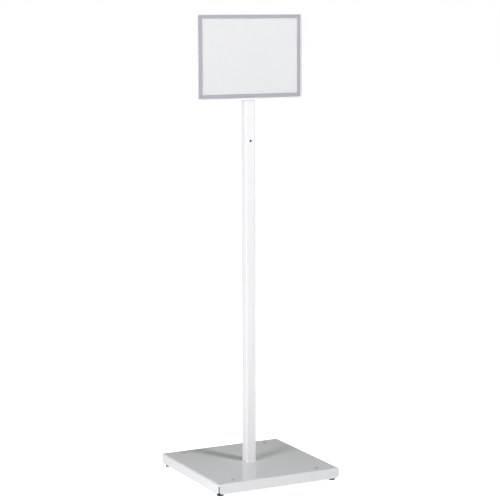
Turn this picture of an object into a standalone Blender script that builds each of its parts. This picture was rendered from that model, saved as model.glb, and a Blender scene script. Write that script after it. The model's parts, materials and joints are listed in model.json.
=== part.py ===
"""A sign stand: an A4 sign head on a square post, over a folded-sheet base with levelling feet.

The origin is on the floor, on the post's axis. +Z is up, and the sign faces -Y. Run it on its own with
blender --background --python part.py, or from the text editor.
"""

import math

import bmesh
import bpy
from mathutils import Vector

MM = 0.001
FIT_GAP = 0.3 * MM  # the air between two pieces that touch, or are welded, on the real stand
OVERCUT = 1 * MM  # how far a cutting shape runs past the surface it opens
LEAST_CORNER = 0.4 * MM  # for corners that look sharp
THREAD_CHAMFER = 0.2  # of a screw's radius, at its end
SHARP_ANGLE = math.radians(35)
AXIS_SIZE = 20 * MM

# Outlines: every loop has the same number of points, so a square can be joined to a circle or a hexagon.
CORNER_POINTS = 6
LOOP_POINTS = 4 * CORNER_POINTS
LOOP_STEP = 2 * math.pi / LOOP_POINTS

# Base tray
BASE_SIDE = 380 * MM
BASE_TOP = 36.4 * MM
BASE_SKIRT = 28.5 * MM
BASE_SHEET = 1.5 * MM
BASE_BEND = 5 * MM  # outside radius of the folded edges
BASE_CORNER = 2 * MM  # outside radius of the closed corners, seen from above
SLIT_DROP = 6.5 * MM  # how far below the top face the corner slits start
SLIT_SETBACK = 3 * MM  # from the outside corner to the end of each flange
FLANGE_CORNER = 8 * MM  # radius of each flange's lower corners
BEND_STEPS = 6
NOTCH_STEPS = 6
NOTCH_MARGIN = 4 * MM  # how far the cutting shapes of the slits run past the flanges

# Ballast under the tray, and its four countersunk screws
BALLAST = Vector((300, 350, 8)) * MM
BALLAST_CORNER = 6 * MM  # radius of the plate's corners, seen from above
SCREW_X = 132 * MM
SCREW_Y = 160 * MM
M5_RADIUS = 2.5 * MM
M5_HEAD_RADIUS = 4.9 * MM
M5_SOCKET = 3 * MM
M5_SOCKET_DEPTH = 1.6 * MM
M5_SCREW_LENGTH = 11 * MM

# Levelling feet, and the corner gussets that carry them
FOOT_INSET_X = 14 * MM  # from the tray's outer faces to each foot's axis
FOOT_INSET_Y = 20 * MM
FOOT_TRAVEL = 10 * MM
PAD_RADIUS = 10 * MM
PAD_HEIGHT = 9 * MM
PAD_EDGE = 0.8 * MM
PAD_SHOULDER = 1.5 * MM
PAD_FLOOR = 5 * MM  # of solid plastic under the stud's disc
PAD_LIP = 1.2 * MM  # thickness of the lip that holds the disc in
PAD_SOCKET_RADIUS = 5.6 * MM
PAD_MOUTH_RADIUS = 4.8 * MM
STUD_RADIUS = 4 * MM  # M8
STUD_DISC_RADIUS = 5.3 * MM
STUD_END = 1.2 * MM  # what shows above the weld nut with the foot fully out
STUD_FLATS = 13 * MM
GUSSET_SIDE = 40 * MM
GUSSET_TOE = 10 * MM  # the straight ends beside the sloping inner edge
GUSSET_RELIEF = 5 * MM  # cut off the outer corner, clear of the slit
GUSSET_SHEET = 2 * MM
GUSSET_Z = 14 * MM
FOOT_NUT_FLATS = 13 * MM
FOOT_NUT_HEIGHT = 6.5 * MM
FOOT_NUT_CHAMFER = 0.4 * MM

# Post
POST_SIDE = 30 * MM
POST_WALL = 1.5 * MM
POST_CORNER = 3 * MM
POST_BOTTOM = BASE_TOP + FIT_GAP
PLUG_HEIGHT = 18 * MM
M10_RADIUS = 5 * MM
M10_FLATS = 16 * MM
M10_HEAD = 6.4 * MM
M10_HEAD_CHAMFER = 0.6 * MM
POST_BOLT_REACH = 15 * MM  # into the plug
WASHER_RADIUS = 15 * MM
WASHER_SHEET = 2.5 * MM
LOCK_RING_RADIUS = 9 * MM
LOCK_RING_HEIGHT = 2.2 * MM

# Head plate and spigot
PLATE_WIDTH = 331.6 * MM
PLATE_BOTTOM = 1070.2 * MM
PLATE_TOP = 1314.4 * MM
PLATE_SHEET = 1.5 * MM
PLATE_CORNER = 3 * MM
SPIGOT_SIDE = 20 * MM
SPIGOT_WALL = 1.5 * MM
SPIGOT_CORNER = 2 * MM
SPIGOT_TOP = 1292 * MM
HEAD_TRAVEL = 120 * MM
GUIDE_HEIGHT = 10 * MM
GUIDE_LEAD = 1 * MM  # bevel that leads the guide into the post
INSERT_DEPTH = 14 * MM  # how far the two plastic end pieces reach into the spigot
CAP_HEIGHT = 3 * MM
CAP_EDGE = 0.8 * MM
HEAD_STUD_INSET = 55 * MM  # from the plate's lower and upper edges to the two fixing studs
DOME_FLATS = 8 * MM
DOME_HEIGHT = 8 * MM
DOME_STRAIGHT = 4 * MM  # height of the dome nut's hexagonal part
DOME_BORE = 5 * MM
DOME_STEPS = 5
M5_WASHER_RADIUS = 5 * MM
M5_WASHER_SHEET = 1 * MM

# Bush in the post's mouth
BUSH_FLANGE = 1.5 * MM
BUSH_SKIRT = 18 * MM
BUSH_EDGE = 0.3 * MM
POST_TOP = PLATE_BOTTOM - FIT_GAP - BUSH_FLANGE - FIT_GAP

# Clamp screw, its pressure tip and its nut
CLAMP_Z = 957 * MM
M6_RADIUS = 3 * MM
M6_SCREW_LENGTH = 4 * MM
M6_SOCKET = 3 * MM
M6_SOCKET_DEPTH = 2.2 * MM
CLAMP_TIP_RADIUS = 2.6 * MM
CLAMP_TIP_LENGTH = 1 * MM
CLAMP_NUT_FLATS = 10 * MM
CLAMP_NUT_HEIGHT = 2.7 * MM

# A4 frame on the plate. Depths are measured forwards from the post's axis.
FRAME_WIDTH = 315.6 * MM
FRAME_BOTTOM = 1078.2 * MM
FRAME_TOP = 1306.4 * MM
FRAME_BORDER = 9.9 * MM
HINGE_BAND = 3.6 * MM  # height of the fixed band above the crease
CREASE = 0.4 * MM
SHEET_A4 = (297 * MM, 210 * MM)
BACKING_THICKNESS = 0.4 * MM
PAPER_THICKNESS = 0.2 * MM
MAGNET_THICKNESS = 0.5 * MM
WINDOW_THICKNESS = 0.4 * MM
STRIP_THICKNESS = 0.7 * MM
MAGNET_INSET = 0.6 * MM  # from the window's edges to the magnets

# Values that follow from the ones above
PLATE_BACK = SPIGOT_SIDE / 2 + FIT_GAP
PLATE_FRONT = PLATE_BACK + PLATE_SHEET
BACKING_BACK = PLATE_FRONT + FIT_GAP
LAYER_BACK = BACKING_BACK + BACKING_THICKNESS + FIT_GAP
WINDOW_BACK = LAYER_BACK + MAGNET_THICKNESS + FIT_GAP
STRIP_BACK = WINDOW_BACK + WINDOW_THICKNESS + FIT_GAP
STRIP_FRONT = STRIP_BACK + STRIP_THICKNESS
COVER_TOP = FRAME_TOP - HINGE_BAND - CREASE
CLAMP_NUT_BACK = POST_SIDE / 2 - POST_WALL - FIT_GAP - CLAMP_NUT_HEIGHT
GUIDE_TOP = CLAMP_Z - CLAMP_NUT_FLATS / 2 / math.cos(math.radians(30)) - FIT_GAP - HEAD_TRAVEL
SPIGOT_BOTTOM = GUIDE_TOP + FIT_GAP
BALLAST_TOP = BASE_TOP - BASE_SHEET - FIT_GAP
FOOT_X = BASE_SIDE / 2 - FOOT_INSET_X
FOOT_Y = BASE_SIDE / 2 - FOOT_INSET_Y
FOOT_NUT_Z = GUSSET_Z + GUSSET_SHEET + FIT_GAP
STUD_TOP = FOOT_NUT_Z + FOOT_NUT_HEIGHT + FOOT_TRAVEL + STUD_END
CORNERS = {"front_left": (-1, -1), "front_right": (1, -1), "back_left": (-1, 1), "back_right": (1, 1)}


# ---------------------------------------------------------------- outlines and skins


def circle(radius, z):
    """A round loop in the plane of height z, anticlockwise seen from above."""
    angles = [LOOP_STEP * (i + 0.5) for i in range(LOOP_POINTS)]
    return [(radius * math.cos(a), radius * math.sin(a), z) for a in angles]


def hexagon(flats, z):
    """A hexagonal loop, given its width across flats; its corners fall on points of the loop."""
    points = []
    for i in range(LOOP_POINTS):
        angle = LOOP_STEP * (i + 0.5)
        from_flat = (angle - LOOP_STEP / 2) % (math.pi / 3) - math.pi / 6
        radius = flats / 2 / math.cos(from_flat)
        points.append((radius * math.cos(angle), radius * math.sin(angle), z))
    return points


def rectangle(width, depth, corner, z, centre=(0, 0)):
    """A rectangular loop with rounded corners."""
    points = []
    for quarter, (sx, sy) in enumerate(((1, 1), (-1, 1), (-1, -1), (1, -1))):
        for step in range(CORNER_POINTS):
            angle = math.pi / 2 * (quarter + step / (CORNER_POINTS - 1))
            x = centre[0] + sx * (width / 2 - corner) + corner * math.cos(angle)
            y = centre[1] + sy * (depth / 2 - corner) + corner * math.sin(angle)
            points.append((x, y, z))
    return points


def square(side, corner, z):
    return rectangle(side, side, corner, z)


def loft(bm, loops, ring=False, offset=(0, 0, 0)):
    """Skin one loop to the next. A ring joins the last to the first; otherwise both ends are capped."""
    rings = [[bm.verts.new(Vector(point) + Vector(offset)) for point in loop] for loop in loops]
    spans = list(zip(rings, rings[1:]))
    if ring:
        spans.append((rings[-1], rings[0]))
    for lower, upper in spans:
        for i in range(len(lower)):
            j = (i + 1) % len(lower)
            bm.faces.new((lower[i], lower[j], upper[j], upper[i]))
    if not ring:
        bm.faces.new(reversed(rings[0]))
        bm.faces.new(rings[-1])
    return bm


def prism(bm, outline, low, high, axis=2):
    """Extrude a flat outline along X, Y or Z, from low to high."""
    def at(point, height):
        position = list(point)
        position.insert(axis, height)
        return position

    ends = [[bm.verts.new(at(point, height)) for point in outline] for height in (low, high)]
    bm.faces.new(reversed(ends[0]))
    bm.faces.new(ends[1])
    for i in range(len(outline)):
        j = (i + 1) % len(outline)
        bm.faces.new((ends[0][i], ends[0][j], ends[1][j], ends[1][i]))
    return bm


def nut(bm, flats, bore, height, chamfer=0.0):
    """A hexagonal nut that stands on z = 0."""
    inner = bore + chamfer
    loops = [
        hexagon(flats, 0),
        hexagon(flats, height),
        circle(inner, height),
        circle(bore, height - chamfer),
        circle(bore, chamfer),
        circle(inner, 0),
    ]
    if chamfer == 0:
        del loops[3:5]
    return loft(bm, loops, ring=True)


def washer(bm, radius, bore, height):
    loops = [circle(radius, 0), circle(radius, height), circle(bore, height), circle(bore, 0)]
    return loft(bm, loops, ring=True)


# ---------------------------------------------------------------- objects


def clear_scene():
    for thing in list(bpy.data.objects):
        bpy.data.objects.remove(thing, do_unlink=True)


def finish(name, colour, roughness, metallic=0.0, alpha=1.0):
    """A Principled material."""
    material = bpy.data.materials.new(name)
    material.use_nodes = True
    shader = material.node_tree.nodes["Principled BSDF"]
    shader.inputs["Base Color"].default_value = (*colour, 1)
    shader.inputs["Roughness"].default_value = roughness
    shader.inputs["Metallic"].default_value = metallic
    shader.inputs["Alpha"].default_value = alpha
    return material


def axis_empty(name, at, parent=None):
    """The empty on a joint's axis, which the moving pieces hang from."""
    empty = bpy.data.objects.new(name, None)
    empty.empty_display_size = AXIS_SIZE
    place(empty, at, parent)
    return empty


def place(thing, at, parent):
    """Put an object at a place in the world, under its parent."""
    bpy.context.scene.collection.objects.link(thing)
    thing.location = at
    if parent is not None:
        bpy.context.view_layer.update()
        thing.parent = parent
        thing.location = Vector(at) - parent.matrix_world.translation


def piece(name, bm, material, at=(0, 0, 0), parent=None, faces_front=False):
    """Make a named object. One that faces the front is drawn lying down, and stood up so its +Z is -Y."""
    bmesh.ops.recalc_face_normals(bm, faces=bm.faces)
    mesh = bpy.data.meshes.new(name)
    bm.to_mesh(mesh)
    bm.free()
    mesh.shade_smooth()
    mesh.set_sharp_from_angle(angle=SHARP_ANGLE)
    mesh.materials.append(material)
    thing = bpy.data.objects.new(name, mesh)
    if faces_front:
        thing.rotation_euler.x = math.pi / 2
    place(thing, at, parent)
    return thing


def cut(thing, bm, label):
    """Cut a shape, drawn in the object's own frame, out of it."""
    bmesh.ops.recalc_face_normals(bm, faces=bm.faces)
    mesh = bpy.data.meshes.new(f"{thing.name}_{label}")
    bm.to_mesh(mesh)
    bm.free()
    cutter = bpy.data.objects.new(mesh.name, mesh)
    bpy.context.scene.collection.objects.link(cutter)
    cutter.parent = thing
    cutter.hide_render = True
    cutter.display_type = "WIRE"
    modifier = thing.modifiers.new(label, "BOOLEAN")
    modifier.operation = "DIFFERENCE"
    modifier.solver = "EXACT"
    modifier.object = cutter


# ---------------------------------------------------------------- base


def flange_notch(sign):
    """What is cut away at one end of a flange: the slit, widening round the flange's lower corner."""
    end = BASE_SIDE / 2 - SLIT_SETBACK
    past_corner = BASE_SIDE / 2 + NOTCH_MARGIN
    skirt_bottom = BASE_TOP - BASE_SKIRT
    below = skirt_bottom - NOTCH_MARGIN
    slit_top = BASE_TOP - SLIT_DROP
    outline = [(past_corner, below), (past_corner, slit_top), (end, slit_top)]
    for step in range(NOTCH_STEPS + 1):
        angle = math.pi / 2 * step / NOTCH_STEPS
        along = end - FLANGE_CORNER * (1 - math.cos(angle))
        height = skirt_bottom + FLANGE_CORNER * (1 - math.sin(angle))
        outline.append((along, height))
    outline.append((end - FLANGE_CORNER, below))
    return [(sign * along, height) for along, height in outline]


def tray_loops():
    """Loops over the tray's outside from the top down, then up its inside."""
    loops = []
    for layer, turn in ((0.0, 1), (BASE_SHEET, -1)):
        bend = BASE_BEND - layer
        corner = BASE_CORNER - layer
        half_loops = [(0.0, BASE_TOP - BASE_SKIRT)]
        for step in range(BEND_STEPS + 1):
            angle = math.pi / 2 * step / BEND_STEPS
            inwards = bend * (1 - math.cos(angle))
            half_loops.append((inwards, BASE_TOP - BASE_BEND + bend * math.sin(angle)))
        if turn == 1:
            half_loops.reverse()
        for inwards, z in half_loops:
            side = BASE_SIDE - 2 * layer - 2 * inwards
            loops.append(square(side, max(corner - inwards, LEAST_CORNER), z))
    return loops


def build_tray(paint):
    tray = piece("base_tray", loft(bmesh.new(), tray_loops()), paint)
    outside = BASE_SIDE / 2 + OVERCUT
    inside = BASE_SIDE / 2 - SLIT_SETBACK
    for label, axis in (("front_back_notches", 1), ("side_notches", 0)):
        bm = bmesh.new()
        for end in (-1, 1):
            for side in (-1, 1):
                low, high = sorted((side * outside, side * inside))
                prism(bm, flange_notch(end), low, high, axis)
        cut(tray, bm, label)
    holes = bmesh.new()
    above = BASE_TOP + OVERCUT
    below = BASE_TOP - BASE_SHEET - OVERCUT
    mouth = M5_HEAD_RADIUS + FIT_GAP
    throat = M5_RADIUS + FIT_GAP
    depth = mouth - throat
    for sx, sy in CORNERS.values():
        loops = [
            circle(throat, below),
            circle(throat, BASE_TOP - depth),
            circle(mouth, BASE_TOP),
            circle(mouth, above),
        ]
        loft(holes, loops, offset=(sx * SCREW_X, sy * SCREW_Y, 0))
    loft(holes, [circle(M10_RADIUS + FIT_GAP, below), circle(M10_RADIUS + FIT_GAP, above)])
    cut(tray, holes, "screw_holes")


def build_ballast(steel, zinc):
    low = BALLAST_TOP - BALLAST.z
    plate = piece(
        "ballast_plate",
        loft(
            bmesh.new(),
            [
                rectangle(BALLAST.x, BALLAST.y, BALLAST_CORNER, low),
                rectangle(BALLAST.x, BALLAST.y, BALLAST_CORNER, BALLAST_TOP),
            ],
        ),
        steel,
    )
    holes = bmesh.new()
    span = (low - OVERCUT, BALLAST_TOP + OVERCUT)
    throat = M5_RADIUS + FIT_GAP
    cone_foot = BASE_TOP - (M5_HEAD_RADIUS - M5_RADIUS) - FIT_GAP
    for sx, sy in CORNERS.values():
        loops = [
            circle(throat, span[0]),
            circle(throat, cone_foot),
            circle(throat + span[1] - cone_foot, span[1]),
        ]
        loft(holes, loops, offset=(sx * SCREW_X, sy * SCREW_Y, 0))
    loft(holes, [circle(M10_RADIUS + FIT_GAP, z) for z in span])
    cut(plate, holes, "screw_holes")

    chamfer = M5_RADIUS * THREAD_CHAMFER
    for name, (sx, sy) in CORNERS.items():
        screw = [
            circle(M5_RADIUS - chamfer, -M5_SCREW_LENGTH),
            circle(M5_RADIUS, -M5_SCREW_LENGTH + chamfer),
            circle(M5_RADIUS, M5_RADIUS - M5_HEAD_RADIUS),
            circle(M5_HEAD_RADIUS, 0),
            hexagon(M5_SOCKET, 0),
            hexagon(M5_SOCKET, -M5_SOCKET_DEPTH),
        ]
        at = (sx * SCREW_X, sy * SCREW_Y, BASE_TOP)
        piece(f"ballast_screw_{name}", loft(bmesh.new(), screw), zinc, at=at)


def gusset_outline(sx, sy):
    """A corner plate against the insides of two flanges, with its outer corner cut off clear of the slit."""
    outer = BASE_SIDE / 2 - BASE_SHEET - FIT_GAP
    inner = outer - GUSSET_SIDE
    outline = [
        (inner, outer),
        (inner, outer - GUSSET_TOE),
        (outer - GUSSET_TOE, inner),
        (outer, inner),
        (outer, outer - GUSSET_RELIEF),
        (outer - GUSSET_RELIEF, outer),
    ]
    return [(sx * x, sy * y) for x, y in outline]


def build_corner(name, signs, paint, zinc, plastic):
    """One corner's gusset, weld nut, and levelling foot."""
    sx, sy = signs
    foot = (sx * FOOT_X, sy * FOOT_Y, 0)
    gusset = piece(
        f"gusset_{name}",
        prism(bmesh.new(), gusset_outline(sx, sy), GUSSET_Z, GUSSET_Z + GUSSET_SHEET),
        paint,
    )
    bore = bmesh.new()
    hole = STUD_RADIUS + FIT_GAP
    span = (GUSSET_Z - OVERCUT, GUSSET_Z + GUSSET_SHEET + OVERCUT)
    loft(bore, [circle(hole, z) for z in span], offset=foot)
    cut(gusset, bore, "stud_hole")

    weld_nut = nut(bmesh.new(), FOOT_NUT_FLATS, hole, FOOT_NUT_HEIGHT, FOOT_NUT_CHAMFER)
    piece(f"foot_nut_{name}", weld_nut, zinc, at=(foot[0], foot[1], FOOT_NUT_Z))

    axis = axis_empty(f"foot_axis_{name}", foot)
    pad = bmesh.new()
    lip = PAD_HEIGHT - PAD_LIP
    loft(
        pad,
        [
            circle(PAD_RADIUS - PAD_EDGE, 0),
            circle(PAD_RADIUS, PAD_EDGE),
            circle(PAD_RADIUS, PAD_HEIGHT - PAD_SHOULDER),
            circle(PAD_RADIUS - PAD_SHOULDER, PAD_HEIGHT),
            circle(PAD_MOUTH_RADIUS, PAD_HEIGHT),
            circle(PAD_MOUTH_RADIUS, lip),
            circle(PAD_SOCKET_RADIUS, lip),
            circle(PAD_SOCKET_RADIUS, PAD_FLOOR),
        ],
    )
    piece(f"foot_pad_{name}", pad, plastic, at=foot, parent=axis)

    collar_bottom = PAD_HEIGHT + FIT_GAP
    chamfer = STUD_RADIUS * THREAD_CHAMFER
    stud = bmesh.new()
    loft(
        stud,
        [
            circle(STUD_DISC_RADIUS, PAD_FLOOR + FIT_GAP),
            circle(STUD_DISC_RADIUS, lip - FIT_GAP),
            circle(STUD_RADIUS, lip - FIT_GAP),
            circle(STUD_RADIUS, collar_bottom),
            hexagon(STUD_FLATS, collar_bottom),
            hexagon(STUD_FLATS, GUSSET_Z - FIT_GAP),
            circle(STUD_RADIUS, GUSSET_Z - FIT_GAP),
            circle(STUD_RADIUS, STUD_TOP - chamfer),
            circle(STUD_RADIUS - chamfer, STUD_TOP),
        ],
    )
    piece(f"foot_stud_{name}", stud, zinc, at=foot, parent=axis)


# ---------------------------------------------------------------- post


def square_tube(side, wall, corner, low, high):
    inner = side - 2 * wall
    loops = [
        square(side, corner, low),
        square(side, corner, high),
        square(inner, corner - wall, high),
        square(inner, corner - wall, low),
    ]
    return loft(bmesh.new(), loops, ring=True)


def drill(thing, radius, heights, front, back):
    """Round holes through a tube, along Y between two depths in front of its axis."""
    bm = bmesh.new()
    for z in heights:
        ends = []
        for depth in (front, back):
            ends.append([(x, -depth, z + y) for x, y, _ in circle(radius, 0)])
        loft(bm, ends)
    cut(thing, bm, "holes")


def build_post(paint, steel, zinc, plastic):
    post = piece(
        "post_tube",
        square_tube(POST_SIDE, POST_WALL, POST_CORNER, POST_BOTTOM, POST_TOP),
        paint,
    )
    hole = M6_RADIUS + FIT_GAP
    drill(post, hole, [CLAMP_Z], POST_SIDE / 2 + OVERCUT, POST_SIDE / 2 - POST_WALL - OVERCUT)

    inner = POST_SIDE - 2 * POST_WALL - 2 * FIT_GAP
    corner = POST_CORNER - POST_WALL
    bore = M10_RADIUS + FIT_GAP
    loops = [
        square(inner, corner, 0),
        square(inner, corner, PLUG_HEIGHT),
        circle(bore, PLUG_HEIGHT),
        circle(bore, 0),
    ]
    piece("post_foot_plug", loft(bmesh.new(), loops, ring=True), steel, at=(0, 0, POST_BOTTOM))

    washer_top = BALLAST_TOP - BALLAST.z - FIT_GAP
    ring_top = washer_top - WASHER_SHEET - FIT_GAP
    head_top = ring_top - LOCK_RING_HEIGHT - FIT_GAP
    flat = washer(bmesh.new(), WASHER_RADIUS, bore, WASHER_SHEET)
    piece("post_washer", flat, zinc, at=(0, 0, washer_top - WASHER_SHEET))
    ring = washer(bmesh.new(), LOCK_RING_RADIUS, bore, LOCK_RING_HEIGHT)
    piece("post_lock_washer", ring, zinc, at=(0, 0, ring_top - LOCK_RING_HEIGHT))
    tip = POST_BOTTOM + POST_BOLT_REACH - head_top
    chamfer = M10_RADIUS * THREAD_CHAMFER
    bolt = loft(
        bmesh.new(),
        [
            circle(M10_FLATS / 2 - M10_HEAD_CHAMFER, -M10_HEAD),
            hexagon(M10_FLATS, -M10_HEAD + M10_HEAD_CHAMFER),
            hexagon(M10_FLATS, 0),
            circle(M10_RADIUS, 0),
            circle(M10_RADIUS, tip - chamfer),
            circle(M10_RADIUS - chamfer, tip),
        ],
    )
    piece("post_bolt", bolt, zinc, at=(0, 0, head_top))

    bore_side = SPIGOT_SIDE + 2 * FIT_GAP
    flange_top = FIT_GAP + BUSH_FLANGE
    bush = [
        square(inner, corner, -BUSH_SKIRT),
        square(inner, corner, FIT_GAP),
        square(POST_SIDE, POST_CORNER, FIT_GAP),
        square(POST_SIDE, POST_CORNER, flange_top - BUSH_EDGE),
        square(POST_SIDE - 2 * BUSH_EDGE, POST_CORNER - BUSH_EDGE, flange_top),
        square(bore_side, SPIGOT_CORNER, flange_top),
        square(bore_side, SPIGOT_CORNER, -BUSH_SKIRT),
    ]
    piece("mouth_bush", loft(bmesh.new(), bush, ring=True), plastic, at=(0, 0, POST_TOP))


def build_clamp(zinc, black_steel, nylon):
    at = (0, -CLAMP_NUT_BACK, CLAMP_Z)
    bm = nut(bmesh.new(), CLAMP_NUT_FLATS, M6_RADIUS + FIT_GAP, CLAMP_NUT_HEIGHT)
    piece("clamp_nut", bm, zinc, at=at, faces_front=True)
    tip_back = SPIGOT_SIDE / 2 + FIT_GAP
    axis = axis_empty("clamp_axis", (0, -tip_back, CLAMP_Z))
    tip = loft(
        bmesh.new(),
        [circle(CLAMP_TIP_RADIUS, 0), circle(CLAMP_TIP_RADIUS, CLAMP_TIP_LENGTH)],
    )
    piece("clamp_tip", tip, nylon, at=(0, -tip_back, CLAMP_Z), parent=axis, faces_front=True)
    screw_back = tip_back + CLAMP_TIP_LENGTH + FIT_GAP
    chamfer = M6_RADIUS * THREAD_CHAMFER
    screw = loft(
        bmesh.new(),
        [
            circle(M6_RADIUS - chamfer, 0),
            circle(M6_RADIUS, chamfer),
            circle(M6_RADIUS, M6_SCREW_LENGTH - chamfer),
            circle(M6_RADIUS - chamfer, M6_SCREW_LENGTH),
            hexagon(M6_SOCKET, M6_SCREW_LENGTH),
            hexagon(M6_SOCKET, M6_SCREW_LENGTH - M6_SOCKET_DEPTH),
        ],
    )
    at = (0, -screw_back, CLAMP_Z)
    piece("clamp_screw", screw, black_steel, at=at, parent=axis, faces_front=True)


# ---------------------------------------------------------------- head


def build_spigot(axis, paint, steel, plastic, zinc):
    spigot = piece(
        "spigot_tube",
        square_tube(SPIGOT_SIDE, SPIGOT_WALL, SPIGOT_CORNER, SPIGOT_BOTTOM, SPIGOT_TOP),
        paint,
        parent=axis,
    )
    stud_heights = {"lower": PLATE_BOTTOM + HEAD_STUD_INSET, "upper": PLATE_TOP - HEAD_STUD_INSET}
    reach = SPIGOT_SIDE / 2 + OVERCUT
    drill(spigot, M5_RADIUS + FIT_GAP, stud_heights.values(), reach, -reach)

    inner = SPIGOT_SIDE - 2 * SPIGOT_WALL - 2 * FIT_GAP
    corner = SPIGOT_CORNER - SPIGOT_WALL
    sliding = POST_SIDE - 2 * POST_WALL - 2 * FIT_GAP
    guide_corner = POST_CORNER - POST_WALL
    guide = [
        square(sliding - GUIDE_LEAD, guide_corner, -GUIDE_HEIGHT),
        square(sliding, guide_corner, -GUIDE_HEIGHT + GUIDE_LEAD),
        square(sliding, guide_corner, 0),
        square(inner, corner, 0),
        square(inner, corner, INSERT_DEPTH),
    ]
    piece("spigot_guide", loft(bmesh.new(), guide), plastic, at=(0, 0, GUIDE_TOP), parent=axis)
    cap = [
        square(inner, corner, -INSERT_DEPTH),
        square(inner, corner, FIT_GAP),
        square(SPIGOT_SIDE, SPIGOT_CORNER, FIT_GAP),
        square(SPIGOT_SIDE, SPIGOT_CORNER, CAP_HEIGHT - CAP_EDGE),
        square(SPIGOT_SIDE - 2 * CAP_EDGE, SPIGOT_CORNER - CAP_EDGE, CAP_HEIGHT),
    ]
    piece("spigot_cap", loft(bmesh.new(), cap), plastic, at=(0, 0, SPIGOT_TOP), parent=axis)

    washer_back = SPIGOT_SIDE / 2 + FIT_GAP + M5_WASHER_SHEET
    nut_front = washer_back + FIT_GAP
    hole = M5_RADIUS + FIT_GAP
    for label, z in stud_heights.items():
        # Drawn facing the front, so a point behind the post's axis has a negative z here.
        at = (0, 0, z)
        tip = FIT_GAP - nut_front - DOME_BORE
        stud = loft(bmesh.new(), [circle(M5_RADIUS, tip), circle(M5_RADIUS, PLATE_BACK - FIT_GAP)])
        piece(f"head_stud_{label}", stud, steel, at=at, parent=axis, faces_front=True)
        at = (0, washer_back, z)
        ring = washer(bmesh.new(), M5_WASHER_RADIUS, hole, M5_WASHER_SHEET)
        piece(f"head_washer_{label}", ring, zinc, at=at, parent=axis, faces_front=True)
        dome = [
            circle(hole, -DOME_BORE),
            circle(hole, 0),
            hexagon(DOME_FLATS, 0),
            hexagon(DOME_FLATS, -DOME_STRAIGHT),
        ]
        for step in range(1, DOME_STEPS):
            angle = math.pi / 2 * step / DOME_STEPS
            radius = DOME_FLATS / 2 * math.cos(angle)
            rise = (DOME_HEIGHT - DOME_STRAIGHT) * math.sin(angle)
            dome.append(circle(radius, -DOME_STRAIGHT - rise))
        at = (0, nut_front, z)
        piece(f"head_dome_nut_{label}", loft(bmesh.new(), dome), zinc, at=at, parent=axis, faces_front=True)


def flat_panel(width, low, high, corner, back, thickness):
    """A thin upright panel, drawn lying down: its height is along Y and its depth along Z."""
    middle = (0, (low + high) / 2)
    loops = [
        rectangle(width, high - low, corner, back, middle),
        rectangle(width, high - low, corner, back + thickness, middle),
    ]
    return loft(bmesh.new(), loops)


def mitred_strips(outer, inner, back, thickness):
    """Four strips between two rectangles (half width, low, high), keyed by side, with mitred ends."""
    def corner_points(rect):
        half, low, high = rect
        return {(-1, -1): (-half, low), (1, -1): (half, low), (1, 1): (half, high), (-1, 1): (-half, high)}

    outside, inside = corner_points(outer), corner_points(inner)
    sides = {
        "top": ((-1, 1), (1, 1)),
        "bottom": ((1, -1), (-1, -1)),
        "left": ((-1, -1), (-1, 1)),
        "right": ((1, 1), (1, -1)),
    }
    strips = {}
    for side, (start, end) in sides.items():
        along = (Vector(outside[end]) - Vector(outside[start])).normalized()
        back_off = along * FIT_GAP
        outline = [
            Vector(outside[start]) + back_off,
            Vector(outside[end]) - back_off,
            Vector(inside[end]) - back_off,
            Vector(inside[start]) + back_off,
        ]
        strips[side] = prism(bmesh.new(), [tuple(p) for p in outline], back, back + thickness)
    return strips


def build_sign(head_axis, cover_axis, finishes):
    """The plate, and the A4 frame on it: fixed backing and hinge band, and the cover that folds up."""
    def upright(name, bm, material, parent):
        piece(name, bm, material, parent=parent, faces_front=True)

    plate = flat_panel(PLATE_WIDTH, PLATE_BOTTOM, PLATE_TOP, PLATE_CORNER, PLATE_BACK, PLATE_SHEET)
    upright("head_plate", plate, finishes["paint"], head_axis)
    backing = flat_panel(
        FRAME_WIDTH, FRAME_BOTTOM, FRAME_TOP, LEAST_CORNER, BACKING_BACK, BACKING_THICKNESS
    )
    upright("backing_sheet", backing, finishes["backing"], head_axis)
    band_bottom = FRAME_TOP - HINGE_BAND
    band_thickness = STRIP_FRONT - LAYER_BACK
    band = flat_panel(FRAME_WIDTH, band_bottom, FRAME_TOP, LEAST_CORNER, LAYER_BACK, band_thickness)
    upright("hinge_band", band, finishes["grey"], head_axis)

    opening = (FRAME_WIDTH / 2 - FRAME_BORDER, FRAME_BOTTOM + FRAME_BORDER, FRAME_TOP - FRAME_BORDER)
    middle = (opening[1] + opening[2]) / 2
    sheet_low, sheet_high = middle - SHEET_A4[1] / 2, middle + SHEET_A4[1] / 2
    paper = flat_panel(SHEET_A4[0], sheet_low, sheet_high, LEAST_CORNER, LAYER_BACK, PAPER_THICKNESS)
    upright("insert_sheet", paper, finishes["paper"], head_axis)

    window = flat_panel(
        FRAME_WIDTH, FRAME_BOTTOM, COVER_TOP, LEAST_CORNER, WINDOW_BACK, WINDOW_THICKNESS
    )
    upright("cover_window", window, finishes["clear"], cover_axis)
    outer = (FRAME_WIDTH / 2, FRAME_BOTTOM, COVER_TOP)
    for side, bm in mitred_strips(outer, opening, STRIP_BACK, STRIP_THICKNESS).items():
        upright(f"frame_{side}", bm, finishes["grey"], cover_axis)
    clear_of_sheet = (SHEET_A4[0] / 2 + FIT_GAP, sheet_low - FIT_GAP, sheet_high + FIT_GAP)
    outer = (outer[0] - MAGNET_INSET, outer[1] + MAGNET_INSET, outer[2] - MAGNET_INSET)
    for side, bm in mitred_strips(outer, clear_of_sheet, LAYER_BACK, MAGNET_THICKNESS).items():
        upright(f"magnet_{side}", bm, finishes["magnet"], cover_axis)


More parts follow.
